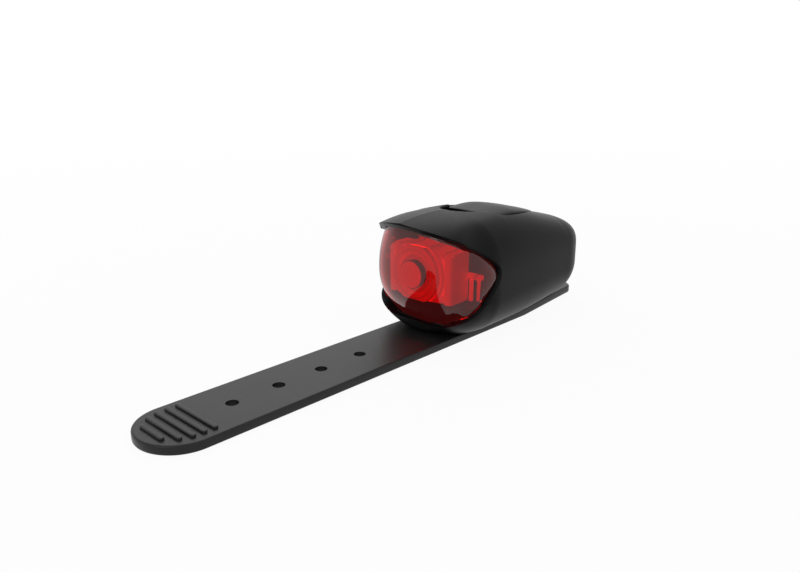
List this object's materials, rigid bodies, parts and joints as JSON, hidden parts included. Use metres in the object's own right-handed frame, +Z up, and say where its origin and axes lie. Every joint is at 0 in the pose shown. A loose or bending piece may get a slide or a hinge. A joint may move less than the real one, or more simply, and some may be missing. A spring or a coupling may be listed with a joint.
{
  "type": "bike rear light",
  "caption": "Bike rear light: rounded black housing with a red eye-shaped lens under a visor and a push button on its crown, carried on a rubber strap with holes that wraps round a tube.",
  "frame": {"origin": "on the underside of the strap below the housing, on the plane of symmetry", "axes": "+Y to the rear, away from the lens, along the flat strap; +X to the light's left seen from the front; +Z up through the button"},
  "size_m": [0.0286, 0.1172, 0.0272],
  "materials": {
    "housing": "satin",
    "button_pad": "soft satin",
    "strap": "matte",
    "seal": "matte",
    "lens_red": "clear gloss",
    "optic_red": "clear gloss",
    "inner_black": "matte",
    "led_resin": "gloss",
    "board_green": "satin",
    "tray_white": "satin",
    "cell_can": "satin",
    "contact": "satin",
    "steel": "satin"
  },
  "bodies": {
    "light": {"upper_shell": "housing", "lower_shell": "housing", "lens": "lens_red", "closing_peg": "housing", "strap_saddle": "strap", "seam_seal": "seal", "shell_screw": "steel", "lens_gasket": "seal", "optic": "optic_red", "optic_frame": "inner_black", "frame_screws": "steel", "led": "led_resin", "led_board": "board_green", "main_board": "board_green", "board_parts": "inner_black", "board_screws": "steel", "switch_body": "inner_black", "cell_tray": "tray_white", "cell_lower": "cell_can", "cell_upper": "cell_can", "negative_contact": "contact", "positive_contact": "contact"},
    "button": {"button": "button_pad", "button_seal": "seal", "button_clip": "steel", "switch_plunger": "tray_white"},
    "strap_1": {"strap_link_1": "strap"},
    "strap_2": {"strap_link_2": "strap"},
    "strap_3": {"strap_link_3": "strap"},
    "strap_4": {"strap_link_4": "strap"},
    "strap_5": {"strap_link_5": "strap"},
    "strap_6": {"strap_link_6": "strap"},
    "strap_7": {"strap_link_7": "strap"},
    "strap_end": {"strap_tip": "strap"}
  },
  "joints": [
    {"name": "button_press", "type": "slide", "parent": "light", "child": "button", "axis": [0, 0, -1], "range_m": [0, 0.0006], "stiffness_N_per_m": 2000},
    {"name": "strap_bend_1", "type": "hinge", "parent": "light", "child": "strap_1", "pos_m": [0, -0.00825, 0], "axis": [1, 0, 0], "range_deg": [0, 35], "stiffness_Nm_per_rad": 0.004},
    {"name": "strap_bend_2", "type": "hinge", "parent": "strap_1", "child": "strap_2", "pos_m": [0, -0.01825, 0], "axis": [1, 0, 0], "range_deg": [0, 35], "stiffness_Nm_per_rad": 0.004},
    {"name": "strap_bend_3", "type": "hinge", "parent": "strap_2", "child": "strap_3", "pos_m": [0, -0.02825, 0], "axis": [1, 0, 0], "range_deg": [0, 35], "stiffness_Nm_per_rad": 0.004},
    {"name": "strap_bend_4", "type": "hinge", "parent": "strap_3", "child": "strap_4", "pos_m": [0, -0.03825, 0], "axis": [1, 0, 0], "range_deg": [0, 35], "stiffness_Nm_per_rad": 0.004},
    {"name": "strap_bend_5", "type": "hinge", "parent": "strap_4", "child": "strap_5", "pos_m": [0, -0.04825, 0], "axis": [1, 0, 0], "range_deg": [0, 35], "stiffness_Nm_per_rad": 0.004},
    {"name": "strap_bend_6", "type": "hinge", "parent": "strap_5", "child": "strap_6", "pos_m": [0, -0.05825, 0], "axis": [1, 0, 0], "range_deg": [0, 35], "stiffness_Nm_per_rad": 0.004},
    {"name": "strap_bend_7", "type": "hinge", "parent": "strap_6", "child": "strap_7", "pos_m": [0, -0.06825, 0], "axis": [1, 0, 0], "range_deg": [0, 35], "stiffness_Nm_per_rad": 0.004},
    {"name": "strap_bend_8", "type": "hinge", "parent": "strap_7", "child": "strap_end", "pos_m": [0, -0.07825, 0], "axis": [1, 0, 0], "range_deg": [0, 35], "stiffness_Nm_per_rad": 0.004}
  ],
  "couplings": [
    {"joint": "strap_bend_2", "follows": "strap_bend_1", "ratio": 1},
    {"joint": "strap_bend_3", "follows": "strap_bend_1", "ratio": 1},
    {"joint": "strap_bend_4", "follows": "strap_bend_1", "ratio": 1},
    {"joint": "strap_bend_5", "follows": "strap_bend_1", "ratio": 1},
    {"joint": "strap_bend_6", "follows": "strap_bend_1", "ratio": 1},
    {"joint": "strap_bend_7", "follows": "strap_bend_1", "ratio": 1},
    {"joint": "strap_bend_8", "follows": "strap_bend_1", "ratio": 1}
  ]
}
